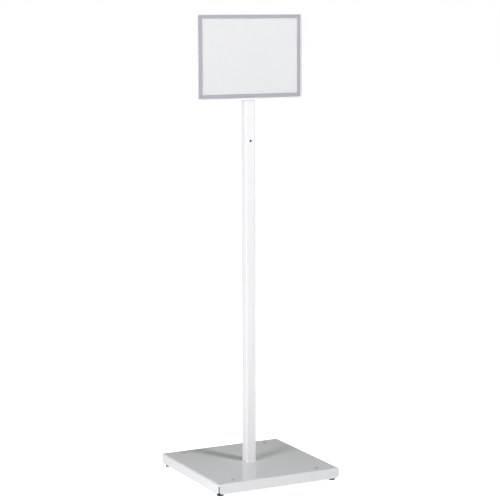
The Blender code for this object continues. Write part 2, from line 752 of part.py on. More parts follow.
def build():
    clear_scene()
    paint = finish("white_powder_coat", (0.8, 0.8, 0.81), 0.25)
    steel = finish("mild_steel", (0.4, 0.4, 0.41), 0.45, 1.0)
    zinc = finish("zinc_plate", (0.62, 0.62, 0.6), 0.3, 1.0)
    black_steel = finish("black_steel", (0.02, 0.02, 0.02), 0.4, 0.8)
    black_plastic = finish("black_plastic", (0.015, 0.015, 0.015), 0.6)
    white_plastic = finish("white_plastic", (0.75, 0.75, 0.76), 0.45)
    nylon = finish("nylon", (0.7, 0.68, 0.62), 0.5)
    sign = {
        "paint": paint,
        "backing": finish("backing_film", (0.8, 0.8, 0.82), 0.5),
        "grey": finish("grey_strip", (0.38, 0.38, 0.42), 0.4),
        "paper": finish("paper", (0.85, 0.85, 0.87), 0.8),
        "clear": finish("clear_film", (0.9, 0.92, 0.95), 0.08, alpha=0.2),
        "magnet": finish("magnet_rubber", (0.05, 0.045, 0.04), 0.8),
    }

    build_tray(paint)
    build_ballast(steel, zinc)
    for name, signs in CORNERS.items():
        build_corner(name, signs, paint, zinc, black_plastic)
    build_post(paint, steel, zinc, white_plastic)
    build_clamp(zinc, black_steel, nylon)
    head_axis = axis_empty("head_axis", (0, 0, POST_TOP))
    build_spigot(head_axis, paint, steel, white_plastic, zinc)
    hinge_height = FRAME_TOP - HINGE_BAND - CREASE / 2
    cover_axis = axis_empty("cover_axis", (0, -STRIP_FRONT, hinge_height), head_axis)
    build_sign(head_axis, cover_axis, sign)


build()
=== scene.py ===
import json
import math

import bmesh
import bpy
from mathutils import Matrix, Vector


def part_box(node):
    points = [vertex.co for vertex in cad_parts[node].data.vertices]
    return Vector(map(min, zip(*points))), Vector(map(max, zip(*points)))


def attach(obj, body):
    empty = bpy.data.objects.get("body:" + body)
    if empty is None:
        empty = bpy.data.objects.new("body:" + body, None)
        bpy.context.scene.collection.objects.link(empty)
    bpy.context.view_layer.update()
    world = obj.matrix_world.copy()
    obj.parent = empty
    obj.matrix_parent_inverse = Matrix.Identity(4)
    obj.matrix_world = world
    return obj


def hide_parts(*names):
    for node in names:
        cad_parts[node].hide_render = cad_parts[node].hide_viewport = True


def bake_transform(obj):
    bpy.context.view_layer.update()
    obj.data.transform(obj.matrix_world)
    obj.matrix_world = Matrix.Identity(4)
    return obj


# The sign stand's looks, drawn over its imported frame: +Z up, the sign facing -Y, and the floor at zero.
# Lengths are in metres.
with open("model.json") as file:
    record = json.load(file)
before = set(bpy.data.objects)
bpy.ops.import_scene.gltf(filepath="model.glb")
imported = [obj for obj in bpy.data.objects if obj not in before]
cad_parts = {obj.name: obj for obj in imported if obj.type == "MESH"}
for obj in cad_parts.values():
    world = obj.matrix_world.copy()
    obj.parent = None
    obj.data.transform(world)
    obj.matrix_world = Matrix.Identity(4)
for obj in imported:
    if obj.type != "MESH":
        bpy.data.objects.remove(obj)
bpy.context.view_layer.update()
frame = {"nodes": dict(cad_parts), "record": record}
MM = 0.001


# ---------------------------------------------------------------- camera

SENSOR = 36  # mm
LENS = 122.55  # mm
CAMERA_TURN = -26.952  # degrees about Z
CAMERA_PITCH = 8.075  # degrees, downwards
CAMERA_ROLL = -0.174  # degrees
CAMERA_PLACE = (-2.15531, -4.24772, 1.28689)  # from the middle of the tray's upper face


def make_camera():
    """A long lens from the sign's left front, at the sign's own height, looking a little down."""
    data = bpy.data.cameras.new("camera")
    data.sensor_width = SENSOR
    data.lens = LENS
    camera = bpy.data.objects.new("camera", data)
    turn = Matrix.Rotation(math.radians(CAMERA_TURN), 4, "Z")
    tilt = Matrix.Rotation(math.radians(90 - CAMERA_PITCH), 4, "X")
    roll = Matrix.Rotation(math.radians(CAMERA_ROLL), 4, "Z")
    x, y, above_tray = CAMERA_PLACE
    place = Matrix.Translation(Vector((x, y, above_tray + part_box("base_tray")[1].z)))
    camera.matrix_world = place @ turn @ tilt @ roll
    bpy.context.scene.collection.objects.link(camera)
    bpy.context.scene.camera = camera


# ---------------------------------------------------------------- materials

NOISE_RANGE = (0.3, 0.7)  # where most of a noise's values lie


class Shader:
    """A Principled material under construction, in object coordinates (metres)."""

    def __init__(self, name):
        self.material = bpy.data.materials.new(name)
        self.material.use_nodes = True
        self.nodes = self.material.node_tree.nodes
        self.links = self.material.node_tree.links
        self.bsdf = self.nodes["Principled BSDF"]
        self.coordinates = self.nodes.new("ShaderNodeTexCoord")

    def set(self, **values):
        """Constants for the sockets named, with _ for a space."""
        for name, value in values.items():
            self.bsdf.inputs[name.replace("_", " ")].default_value = value
        return self

    def noise(self, scale, detail, stretch=(1, 1, 1)):
        """A noise with scale cells to the metre."""
        mapping = self.nodes.new("ShaderNodeMapping")
        mapping.inputs["Scale"].default_value = stretch
        self.links.new(self.coordinates.outputs["Object"], mapping.inputs["Vector"])
        noise = self.nodes.new("ShaderNodeTexNoise")
        noise.inputs["Scale"].default_value = scale
        noise.inputs["Detail"].default_value = detail
        self.links.new(mapping.outputs["Vector"], noise.inputs["Vector"])
        return noise.outputs["Fac"]

    def spread(self, source, low, high):
        """Map a noise's middle range to low..high."""
        node = self.nodes.new("ShaderNodeMapRange")
        node.inputs["From Min"].default_value = NOISE_RANGE[0]
        node.inputs["From Max"].default_value = NOISE_RANGE[1]
        node.inputs["To Min"].default_value = low
        node.inputs["To Max"].default_value = high
        self.links.new(source, node.inputs["Value"])
        return node.outputs["Result"]

    def colours(self, source, *ends):
        """Map a noise's middle range from one colour to another."""
        ramp = self.nodes.new("ShaderNodeValToRGB")
        for element, position, colour in zip(ramp.color_ramp.elements, NOISE_RANGE, ends):
            element.position = position
            element.color = (*colour, 1)
        self.links.new(source, ramp.inputs["Fac"])
        return ramp.outputs["Color"]

    def base(self, source):
        self.links.new(source, self.bsdf.inputs["Base Color"])
        return self

    def rough(self, source):
        self.links.new(source, self.bsdf.inputs["Roughness"])
        return self

    def bump(self, *layers):
        """Each layer is (height source, depth in metres)."""
        normal = None
        for source, depth in layers:
            node = self.nodes.new("ShaderNodeBump")
            node.inputs["Strength"].default_value = 1.0
            node.inputs["Distance"].default_value = depth
            self.links.new(source, node.inputs["Height"])
            if normal is not None:
                self.links.new(normal, node.inputs["Normal"])
            normal = node.outputs["Normal"]
        self.links.new(normal, self.bsdf.inputs["Normal"])
        return self


def powder_coat(name, colour, dull, rough_low, rough_high):
    """Cured powder: a glossy skin with a fine orange peel, and a faint unevenness in its gloss."""
    s = Shader(name)
    s.set(IOR=1.5, Coat_Weight=0.0)
    s.base(s.colours(s.noise(6, 3), colour, dull))
    s.rough(s.spread(s.noise(40, 4), rough_low, rough_high))
    s.bump((s.noise(420, 1), 0.000012), (s.noise(1500, 1), 0.000002))
    return s.material


def metal(name, colour, dull, rough_low, rough_high, stretch=(1, 1, 1)):
    """Bare or plated metal, clouded; stretch draws its marks out along one way."""
    s = Shader(name)
    s.set(Metallic=1.0)
    s.base(s.colours(s.noise(120, 3, stretch), colour, dull))
    s.rough(s.spread(s.noise(300, 3, stretch), rough_low, rough_high))
    s.bump((s.noise(900, 2, stretch), 0.00001))
    return s.material


def plastic(name, colour, dull, rough_low, rough_high, grain=1200, depth=0.000008):
    """Moulded plastic or rubber with a fine grain."""
    s = Shader(name)
    s.set(IOR=1.46)
    s.base(s.colours(s.noise(60, 2), colour, dull))
    s.rough(s.spread(s.noise(200, 3), rough_low, rough_high))
    s.bump((s.noise(grain, 2), depth))
    return s.material


def clear_film(name):
    """Polished clear film: it shows what is behind it, with a thin reflection of its own."""
    s = Shader(name)
    s.set(Base_Color=(1, 1, 1, 1), IOR=1.45, Alpha=0.08)
    s.rough(s.spread(s.noise(30, 2), 0.05, 0.09))
    s.bump((s.noise(12, 1), 0.00008))
    return s.material


def paper(name):
    """Plain white card."""
    s = Shader(name)
    s.set(IOR=1.3)
    s.base(s.colours(s.noise(700, 3), (0.69, 0.695, 0.715), (0.675, 0.68, 0.70)))
    s.rough(s.spread(s.noise(900, 2), 0.75, 0.9))
    s.bump((s.noise(1500, 3), 0.00001))
    return s.material


# The plate's coat is the white powder coat painted lighter and bluer: a painted highlight over the whole
# plate.
PLATE_COAT_PAINTED_LIGHT = powder_coat("plate_powder_coat_painted_light", (0.88, 0.885, 0.91), (0.865, 0.87, 0.9), 0.22, 0.28)
WHITE = powder_coat("white_powder_coat", (0.84, 0.84, 0.85), (0.83, 0.83, 0.84), 0.2, 0.26)
# The tray's coat is the same white powder coat painted darker, as painted shade over the whole tray; it is
# glossier too.
TRAY_COAT_PAINTED_SHADE = powder_coat("tray_powder_coat_painted_shade", (0.76, 0.77, 0.775), (0.75, 0.76, 0.765), 0.06, 0.1)
STEEL = metal("mild_steel", (0.4, 0.4, 0.41), (0.3, 0.29, 0.28), 0.35, 0.55, (1, 6, 1))
ZINC = metal("zinc_plate", (0.72, 0.72, 0.7), (0.62, 0.62, 0.63), 0.2, 0.34)
DULL_ZINC = metal("dull_zinc_plate", (0.66, 0.66, 0.65), (0.58, 0.58, 0.58), 0.3, 0.4)
BLACK_STEEL = metal("black_steel", (0.02, 0.02, 0.022), (0.035, 0.033, 0.03), 0.35, 0.5)
BLACK_PLASTIC = plastic("black_plastic", (0.012, 0.012, 0.013), (0.02, 0.02, 0.02), 0.5, 0.65)
WHITE_PLASTIC = plastic("white_plastic", (0.78, 0.78, 0.79), (0.74, 0.74, 0.75), 0.38, 0.5)
NYLON = plastic("nylon", (0.7, 0.68, 0.62), (0.66, 0.64, 0.58), 0.4, 0.55)
BACKING = plastic("backing_film", (0.8, 0.8, 0.82), (0.78, 0.78, 0.8), 0.45, 0.55)
GREY = plastic("grey_strip", (0.40, 0.40, 0.455), (0.385, 0.385, 0.44), 0.32, 0.42, 800, 0.00001)
MAGNET = plastic("magnet_rubber", (0.05, 0.045, 0.04), (0.035, 0.03, 0.03), 0.7, 0.9)
CLEAR = clear_film("clear_film")
PAPER = paper("paper")
WELD = metal("weld_under_paint", (0.42, 0.42, 0.43), (0.3, 0.3, 0.31), 0.3, 0.5)

# What the frame's own nodes wear, by the record's material slots.
BY_SLOT = {
    "white_powder_coat": WHITE,
    "mild_steel": STEEL,
    "zinc_plate": ZINC,
    "black_steel": BLACK_STEEL,
    "black_plastic": BLACK_PLASTIC,
    "white_plastic": WHITE_PLASTIC,
    "nylon": NYLON,
    "backing_film": BACKING,
    "grey_strip": GREY,
    "magnet_rubber": MAGNET,
    "clear_film": CLEAR,
    "paper": PAPER,
}
SLOT_OF = {material: name for name, material in BY_SLOT.items()}
SLOT_OF.update({
    TRAY_COAT_PAINTED_SHADE: "white_powder_coat",
    PLATE_COAT_PAINTED_LIGHT: "white_powder_coat",
    DULL_ZINC: "zinc_plate",
    WELD: "mild_steel",
})
for row in frame["record"]["subparts"]:
    for slot in frame["nodes"][row["node"]].material_slots:
        slot.material = BY_SLOT[row["material_slot"]]


# ---------------------------------------------------------------- outlines and skins

TURN = 48  # points round a turned or hexagonal piece
QUARTER = 8  # steps round each corner of a square piece
BEND_STEPS = 10  # round the tray's bend
NOTCH_STEPS = 14  # round each lower corner of its flanges
SOFTEN_STEPS = 3  # across a softened corner
PANEL_STEPS = 4  # across a panel's edge
THREAD_STEPS = 8  # along one turn of a thread
THREAD_DEPTH = 0.55  # of its pitch
HEX_TURN = math.radians(7.5)  # where the frame's nuts have a corner
HEX_FACE = 0.96  # the round face of a nut, over its width across flats
HEX_STEPS = 5  # up the bevel of a nut's corners
SHARP_ANGLE = math.radians(38)
EDGE_STEPS = 3  # across a rounded edge
SHORTEST = 0.45  # of a side, the most that rounding a corner takes
OVERCUT = 1 * MM  # how far a cutting shape runs past the surface it opens


def turned(profile, flats=None):
    """Loops of a profile of (radius, z) round Z. Given a width across flats, a hexagon trims them."""
    loops = []
    for radius, z in profile:
        loop = []
        for i in range(TURN):
            angle = 2 * math.pi * i / TURN
            reach = radius
            if flats is not None:
                from_flat = (angle - HEX_TURN) % (math.pi / 3) - math.pi / 6
                reach = min(radius, flats / 2 / math.cos(from_flat))
            loop.append((reach * math.cos(angle), reach * math.sin(angle), z))
        loops.append(loop)
    return loops


def threaded(radius, pitch, low, high):
    """Loops of a right-handed thread, bevelled at both ends."""
    depth = THREAD_DEPTH * pitch
    count = round((high - low) / pitch * THREAD_STEPS)
    loops = []
    for k in range(count + 1):
        z = low + (high - low) * k / count
        bevel = radius - depth + min(z - low, high - z)
        loop = []
        for i in range(TURN):
            angle = 2 * math.pi * i / TURN
            groove = 0.5 - 0.5 * math.cos(2 * math.pi * z / pitch - angle)
            reach = min(radius - depth * groove, bevel)
            loop.append((reach * math.cos(angle), reach * math.sin(angle), z))
        loops.append(loop)
    return loops


def rectangle(width, depth, corner, z, centre=(0, 0)):
    """One loop of a level rectangle with rounded corners."""
    points = []
    for quarter, (sx, sy) in enumerate(((1, 1), (-1, 1), (-1, -1), (1, -1))):
        for step in range(QUARTER + 1):
            angle = math.pi / 2 * (quarter + step / QUARTER)
            x = centre[0] + sx * (width / 2 - corner) + corner * math.cos(angle)
            y = centre[1] + sy * (depth / 2 - corner) + corner * math.sin(angle)
            points.append((x, y, z))
    return points


def squared(profile, side, corner, least=0.3 * MM):
    """Loops of a profile of (inset, z) round a square column."""
    return [rectangle(side - 2 * i, side - 2 * i, max(corner - i, least), z) for i, z in profile]


def soften(profile, radius, closed=False, steps=SOFTEN_STEPS):
    """Round the corners of a profile, each by less than half of its shorter side."""
    points = [Vector(point) for point in profile]
    result = [] if closed else [points[0]]
    for i in range(len(points)) if closed else range(1, len(points) - 1):
        at = points[i]
        before, after = points[i - 1] - at, points[(i + 1) % len(points)] - at
        reach = min(radius, before.length * SHORTEST, after.length * SHORTEST)
        start, end = at + before.normalized() * reach, at + after.normalized() * reach
        for k in range(steps + 1):
            t = k / steps
            result.append(start * (1 - t) ** 2 + at * 2 * t * (1 - t) + end * t * t)
    if not closed:
        result.append(points[-1])
    return [tuple(point) for point in result]


def skin(loops, ring=False, bm=None, offset=(0, 0, 0)):
    """Skin one loop to the next. A ring joins the last to the first; otherwise both ends are capped."""
    bm = bm or bmesh.new()
    rings = [[bm.verts.new(Vector(point) + Vector(offset)) for point in loop] for loop in loops]
    pairs = list(zip(rings, rings[1:]))
    if ring:
        pairs.append((rings[-1], rings[0]))
    for lower, upper in pairs:
        for i in range(len(lower)):
            j = (i + 1) % len(lower)
            bm.faces.new((lower[i], lower[j], upper[j], upper[i]))
    if not ring:
        bm.faces.new(reversed(rings[0]))
        bm.faces.new(rings[-1])
    return bm


def prism(outline, low, high, axis, bm=None):
    """Extrude a flat outline along X, Y or Z."""
    def at(point, height):
        position = list(point)
        position.insert(axis, height)
        return position

    return skin([[at(point, height) for point in outline] for height in (low, high)], bm=bm)


def mesh_object(name, bm):
    """A new object in the scene, with its faces outward."""
    bmesh.ops.recalc_face_normals(bm, faces=bm.faces)
    mesh = bpy.data.meshes.new(name)
    bm.to_mesh(mesh)
    bm.free()
    thing = bpy.data.objects.new(name, mesh)
    bpy.context.scene.collection.objects.link(thing)
    return thing


def carve(thing, bm):
    """Cut closed shapes out of a piece for good."""
    cutter = mesh_object("cutter", bm)
    modifier = thing.modifiers.new("cut", "BOOLEAN")
    modifier.object = cutter
    modifier.solver = "EXACT"
    graph = bpy.context.evaluated_depsgraph_get()
    result = bpy.data.meshes.new_from_object(thing.evaluated_get(graph))
    thing.modifiers.clear()
    thing.data = result
    bpy.data.objects.remove(cutter)


def piece(name, bm, material, body, nodes=(), at=(0, 0, 0), faces_front=False, cuts=(), edge=0.0):
    """Make a named piece that rides a body and stands for the nodes.

    cuts are carved out of it, edge rounds its sharp edges, and faces_front turns its Z to the front.
    """
    thing = mesh_object(name, bm)
    for cut in cuts:
        carve(thing, cut)
    mesh = thing.data
    mesh.name = name
    mesh.materials.clear()
    mesh.materials.append(material)
    mesh.shade_smooth()
    if edge:
        bevel = thing.modifiers.new("edges", "BEVEL")
        bevel.width = edge
        bevel.segments = EDGE_STEPS
        bevel.limit_method = "ANGLE"
        bevel.angle_limit = SHARP_ANGLE
        bevel.miter_outer = "MITER_ARC"
        normals = thing.modifiers.new("normals", "WEIGHTED_NORMAL")
        normals.keep_sharp = True
    else:
        mesh.set_sharp_from_angle(angle=SHARP_ANGLE)
    thing.location = at
    if faces_front:
        thing.rotation_euler.x = math.pi / 2
    if nodes:
        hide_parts(*nodes)
    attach(thing, body)
    return thing


def middle(node):
    """The middle of a node's box."""
    low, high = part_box(node)
    return (low + high) / 2


def hex_bevel(flats):
    """A nut's radius at its corners, that of its round face, and the rise of the bevel between them."""
    corner = flats / 2 / math.cos(math.pi / 6)
    face = flats / 2 * HEX_FACE
    return corner, face, (corner - face) * math.tan(math.pi / 6)


def nut_profile(flats, bore, height):
    """A nut's section as a ring, bevelled so that a hexagon trims it as the real one is."""
    corner, face, rise = hex_bevel(flats)
    slope = [
        (face + (corner - face) * k / HEX_STEPS, rise * k / HEX_STEPS)
        for k in range(HEX_STEPS + 1)
    ]
    back = [(radius, height - z) for radius, z in reversed(slope)]
    lead = 0.4 * MM
    mouth = [(bore + lead, height), (bore, height - lead), (bore, lead), (bore + lead, 0)]
    return slope + back + mouth


# ---------------------------------------------------------------- base

SHEET = 1.5 * MM  # of the tray, and the wall of both tubes
TRAY_BEND = 5 * MM  # radius, outside
TRAY_CORNER = 2 * MM  # where two flanges meet
TRAY_TIGHTEST = 0.4 * MM  # the least of its inner corners
SLIT_DROP = 6.5 * MM  # the closed corner above each slit
SLIT_SETBACK = 3 * MM  # from each flange's end to the corner
FLANGE_CORNER = 8 * MM
M5_HEAD = 4.9 * MM  # radius
HEAD_GAP = 0.03 * MM  # round each countersunk head
CORNERS = ("front_left", "front_right", "back_left", "back_right")
M8_FLATS = 13 * MM  # across the M8 nuts and the studs' collars
WELD_BEAD = 1.1 * MM  # radius
WELD_TIP = 0.2  # the radius of a bead's blunt ends, over its own
WELD_RIPPLE = 1.6 * MM
WELD_RELIEF = 0.09  # of the bead's radius
WELD_STEPS = 6  # along one ripple
WELD_SIDES = 12


def tray_loops(side, low, high):
    """Over the folded sheet's outside from the top down, then up its inside."""
    loops = []
    for layer in (0, SHEET):
        bend = TRAY_BEND - layer
        half = [(0, low)]
        for step in range(BEND_STEPS + 1):
            angle = math.pi / 2 * step / BEND_STEPS
            half.append((bend * (1 - math.cos(angle)), high - TRAY_BEND + bend * math.sin(angle)))
        if layer == 0:
            half.reverse()
        for inwards, z in half:
            width = side - 2 * layer - 2 * inwards
            corner = max(TRAY_CORNER - layer - inwards, TRAY_TIGHTEST)
            loops.append(rectangle(width, width, corner, z))
    return loops


def notch(sign, half, low, high):
    """What is cut away at one end of a flange: the slit, and the flange's rounded lower corner."""
    end = half - SLIT_SETBACK
    margin = 4 * MM
    outline = [(half + margin, low - margin), (half + margin, high - SLIT_DROP), (end, high - SLIT_DROP)]
    for step in range(NOTCH_STEPS + 1):
        angle = math.pi / 2 * step / NOTCH_STEPS
        along = end - FLANGE_CORNER * (1 - math.cos(angle))
        outline.append((along, low + FLANGE_CORNER * (1 - math.sin(angle))))
    outline.append((end - FLANGE_CORNER, low - margin))
    return [(sign * along, height) for along, height in outline]


def make_tray():
    """The folded tray with its slit corners, four countersinks and the post bolt's hole."""
    low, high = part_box("base_tray")
    half = high.x
    cuts = []
    for axis in (0, 1):
        cuts.append(bmesh.new())
        for end in (-1, 1):
            for face in (-1, 1):
                near, far = sorted((face * (half + OVERCUT), face * (half - SLIT_SETBACK)))
                prism(notch(end, half, low.z, high.z), near, far, axis, cuts[-1])
    holes = bmesh.new()
    mouth, throat, post_hole = M5_HEAD + HEAD_GAP, 2.8 * MM, 5.3 * MM
    below, above = high.z - 2 * SHEET, high.z + OVERCUT
    cone = [(throat, below), (throat, high.z - mouth + throat), (mouth, high.z), (mouth, above)]
    for corner in CORNERS:
        at = middle(f"ballast_screw_{corner}")
        skin(turned(cone), bm=holes, offset=(at.x, at.y, 0))
    skin(turned([(post_hole, below), (post_hole, above)]), bm=holes)
    cuts.append(holes)
    blank = skin(tray_loops(2 * half, low.z, high.z))
    # The tray wears the white powder coat painted darker: painted shade.
    piece("tray_sheet", blank, TRAY_COAT_PAINTED_SHADE, "stand", ["base_tray"], cuts=cuts, edge=0.3 * MM)


def make_ballast():
    """The steel slab under the tray, tapped for its screws and bored for the post's bolt."""
    low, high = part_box("ballast_plate")
    size = high - low
    rounding, edge = 6 * MM, 0.8 * MM
    section = [(edge, low.z), (0, low.z), (0, high.z), (edge, high.z)]
    loops = []
    for inset, z in soften(section, edge):
        loops.append(rectangle(size.x - 2 * inset, size.y - 2 * inset, rounding - inset, z))
    holes = bmesh.new()
    below, above = low.z - OVERCUT, high.z + OVERCUT
    lead, bore, mouth, post_hole = 3.4 * MM, 2.75 * MM, 6.2 * MM, 5.5 * MM
    hole = [(lead, below), (lead, low.z + 0.2 * MM), (bore, low.z + 0.8 * MM)]
    hole += [(bore, high.z - 2.4 * MM), (mouth, above)]
    for corner in CORNERS:
        at = middle(f"ballast_screw_{corner}")
        skin(turned(hole), bm=holes, offset=(at.x, at.y, 0))
    skin(turned([(post_hole, below), (post_hole, above)]), bm=holes)
    piece("ballast_slab", skin(loops), STEEL, "stand", ["ballast_plate"], cuts=[holes])


def make_ballast_screws():
    """M5 countersunk socket screws, flush with the tray."""
    radius, pitch, socket, depth = 2.5 * MM, 0.8 * MM, 3 * MM, 1.6 * MM
    head = [(2.0 * MM, -2.8 * MM), (radius, -2.5 * MM), (M5_HEAD, -0.12 * MM), (M5_HEAD, 0), (1.95 * MM, 0)]
    hollow = [(1.9 * MM, 0), (1.75 * MM, -0.15 * MM), (1.75 * MM, -depth)]
    for corner in CORNERS:
        node = f"ballast_screw_{corner}"
        low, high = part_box(node)
        at = (*middle(node).xy, high.z)
        loops = threaded(radius, pitch, low.z - high.z, -2.9 * MM)
        loops += turned(soften(head, 0.1 * MM)) + turned(hollow, socket)
        piece(f"countersunk_screw_{corner}", skin(loops), DULL_ZINC, "stand", [node], at)


def weld_bead(name, start, end):
    """A rippled bead of weld along a straight joint of the stand."""
    start, end = Vector(start), Vector(end)
    run = end - start
    side = run.normalized().cross(Vector((0, 0, 1)))
    up = side.cross(run.normalized())
    count = round(run.length / WELD_RIPPLE * WELD_STEPS)
    angles = [2 * math.pi * i / WELD_SIDES for i in range(WELD_SIDES)]
    loops = []
    for k in range(count + 1):
        t = k / count
        from_end = min(t, 1 - t) * run.length
        blunt = max(WELD_TIP, math.sqrt(1 - max(0, 1 - from_end / WELD_BEAD) ** 2))
        ripple = 1 + WELD_RELIEF * math.cos(2 * math.pi * t * run.length / WELD_RIPPLE)
        reach = WELD_BEAD * blunt * ripple
        centre = start + run * t
        loops.append([centre + (side * math.cos(a) + up * math.sin(a)) * reach for a in angles])
    piece(name, skin(loops), WELD, "stand")


def make_gusset(corner):
    """A corner's plate, drilled for the foot's stud and welded along both flanges."""
    sx = 1 if corner.endswith("right") else -1
    sy = 1 if corner.startswith("back") else -1
    low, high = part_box(f"gusset_{corner}")
    outer = max(abs(low.x), abs(high.x))
    inner = min(abs(low.x), abs(high.x))
    toe, relief, bore = 10 * MM, 5 * MM, 4.3 * MM
    outline = [(inner, outer), (inner, outer - toe), (outer - toe, inner), (outer, inner),
               (outer, outer - relief), (outer - relief, outer)]
    foot = middle(f"foot_pad_{corner}")
    hole = turned([(bore, low.z - OVERCUT), (bore, high.z + OVERCUT)])
    hole = skin(hole, offset=(foot.x, foot.y, 0))
    blank = prism([(sx * x, sy * y) for x, y in outline], low.z, high.z, 2)
    piece(f"gusset_plate_{corner}", blank, WHITE, "stand", [f"gusset_{corner}"], cuts=[hole], edge=0.25 * MM)
    inset = 4 * MM
    near, far, wall, z = sy * (inner + inset), sy * (outer - relief - inset), sx * outer, low.z
    weld_bead(f"weld_side_{corner}", (wall, near, z), (wall, far, z))
    near, far, wall = sx * (inner + inset), sx * (outer - relief - inset), sy * outer
    weld_bead(f"weld_end_{corner}", (near, wall, z), (far, wall, z))


def make_foot(corner):
    """A corner's weld nut, moulded pad and levelling stud."""
    foot = middle(f"foot_pad_{corner}")
    low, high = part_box(f"foot_nut_{corner}")
    loops = turned(nut_profile(M8_FLATS, 4.25 * MM, high.z - low.z), M8_FLATS)
    at = (foot.x, foot.y, low.z)
    piece(f"weld_nut_{corner}", skin(loops, ring=True), ZINC, "stand", [f"foot_nut_{corner}"], at)

    node = f"foot_pad_{corner}"
    at = (foot.x, foot.y, 0)
    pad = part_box(node)[1].z
    edge, sole, hollow, tip = 10 * MM, 7.0 * MM, 0.7 * MM, 1 * MM
    neck, cup, seat, lip = 4.9 * MM, 5.6 * MM, 5 * MM, pad - 1.2 * MM
    profile = [(6.6 * MM, hollow), (sole, 0), (edge - 0.7 * MM, 0), (edge, 0.8 * MM),
               (edge, pad - 1.6 * MM), (edge - 1.6 * MM, pad), (neck, pad), (neck, lip),
               (cup, lip), (cup, seat), (tip, seat)]
    loops = turned([(tip, hollow)] + soften(profile, 0.6 * MM))
    piece(f"moulded_pad_{corner}", skin(loops), BLACK_PLASTIC, node, [node], at)

    node = f"foot_stud_{corner}"
    low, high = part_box(node)
    button, neck, radius, pitch = 5.3 * MM, 3.9 * MM, 4 * MM, 1.25 * MM
    start, end = pad + 0.3 * MM, 13.7 * MM
    face, shoulder, tip = 6.3 * MM, 6.7 * MM, 7.5 * MM
    disc = [(4.6 * MM, low.z), (button, low.z), (button, pad - 1.5 * MM), (neck, pad - 1.4 * MM),
            (neck, start)]
    collar = [(5.6 * MM, start), (face, start), (shoulder, start + 0.25 * MM), (tip, start + 0.6 * MM),
              (tip, end - 0.6 * MM), (shoulder, end - 0.25 * MM), (face, end), (radius, end)]
    loops = turned(soften(disc, 0.3 * MM)) + turned(collar, M8_FLATS)
    loops += threaded(radius, pitch, end, high.z)
    piece(f"levelling_stud_{corner}", skin(loops), ZINC, node, [node], at)


# ---------------------------------------------------------------- post and clamp

POST_CORNER = 3 * MM
POST_EDGE = 0.12 * MM  # the rounding of its cut ends
WASHER_BORES = {"post_washer": 5.3 * MM, "head_washer_lower": 2.8 * MM, "head_washer_upper": 2.8 * MM}
WASHER_ROUND = 1.004  # a round washer's radius, over half the box of the frame's many-sided one


def drill(radius, front, back, heights):
    """Closed round holes along Y."""
    bm = bmesh.new()
    for z in heights:
        ends = []
        for y in (front, back):
            ends.append([(x, y, z + rise) for x, rise, _ in turned([(radius, 0)])[0]])
        skin(ends, bm=bm)
    return bm


def tube(node, wall, corner, edge, foot=None):
    """A square tube in a node's place, with softened ends. foot lowers its lower end."""
    low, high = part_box(node)
    bottom = low.z if foot is None else foot
    section = [(0, bottom), (0, high.z), (wall, high.z), (wall, bottom)]
    return skin(squared(soften(section, edge, closed=True), high.x - low.x, corner), ring=True)


def make_post():
    """The post's square tube, standing on the tray, with the set screw's hole."""
    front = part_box("post_tube")[0].y
    hole = drill(3.15 * MM, front - OVERCUT, front + 2 * SHEET, [middle("clamp_screw").z])
    blank = tube("post_tube", SHEET, POST_CORNER, POST_EDGE, foot=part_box("base_tray")[1].z)
    piece("post_box_section", blank, WHITE, "stand", ["post_tube"], cuts=[hole], edge=POST_EDGE)


def make_bolt():
    """The M10 hexagon bolt that holds the post down, with a dished head."""
    low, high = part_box("post_bolt")
    flats, head, radius, pitch = 16 * MM, 6.4 * MM, 5 * MM, 1.5 * MM
    face, rise, dish, lip, collar = 7.7 * MM, 0.9 * MM, 0.5 * MM, head - 0.4 * MM, 7.6 * MM
    corner, _, _ = hex_bevel(flats)
    profile = [(1 * MM, dish), (4.2 * MM, dish), (5.2 * MM, 0), (face, 0)]
    for k in range(1, HEX_STEPS + 1):
        profile.append((face + (corner - face) * k / HEX_STEPS, rise * k / HEX_STEPS))
    profile += [(corner, lip), (collar, lip), (collar, head), (4.6 * MM, head)]
    loops = turned(profile, flats) + threaded(radius, pitch, head, high.z - low.z)
    piece("hex_bolt", skin(loops), ZINC, "stand", ["post_bolt"], (0, 0, low.z))


def make_flat_washers():
    """The bolt's washer lies flat, and the head's two stand upright."""
    for node, bore in WASHER_BORES.items():
        low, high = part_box(node)
        upright = node.startswith("head")
        radius = (high.x - low.x) / 2 * WASHER_ROUND
        height = high.y - low.y if upright else high.z - low.z
        section = [(bore, 0), (bore, height), (radius, height), (radius, 0)]
        ring = skin(turned(soften(section, 0.25 * MM, closed=True)), ring=True)
        at = (0, high.y, middle(node).z) if upright else (0, 0, low.z)
        body = "head" if upright else "stand"
        piece(f"flat_{node}", ring, ZINC, body, [node], at, faces_front=upright)


def make_spring_washer():
    """A split washer under the bolt's head, its ends sprung apart."""
    low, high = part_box("post_lock_washer")
    outer, inner, spring = 9 * MM, 5.4 * MM, 0.15 * MM
    under, over = spring, high.z - low.z - spring
    section = [(inner, under), (outer, under), (outer, over), (inner, over)]
    section = soften(section, 0.3 * MM, closed=True)
    gap = math.radians(5)
    loops = []
    for k in range(TURN + 1):
        t = k / TURN
        angle = gap + (2 * math.pi - 2 * gap) * t
        rise = spring * (2 * t - 1)
        loops.append([(r * math.cos(angle), r * math.sin(angle), z + rise) for r, z in section])
    piece("spring_washer", skin(loops), ZINC, "stand", ["post_lock_washer"], (0, 0, low.z))


def make_bush():
    """The moulded bush in the post's mouth, with a flange on the post's end."""
    low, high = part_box("mouth_bush")
    flange = high.z - 1.5 * MM
    skirt, bore = 1.8 * MM, 4.7 * MM
    section = [(0, flange), (0, high.z), (bore, high.z), (bore, low.z), (skirt, low.z), (skirt, flange)]
    loops = squared(soften(section, 0.35 * MM, closed=True), high.x - low.x, POST_CORNER)
    piece("moulded_bush", skin(loops, ring=True), WHITE_PLASTIC, "stand", ["mouth_bush"])


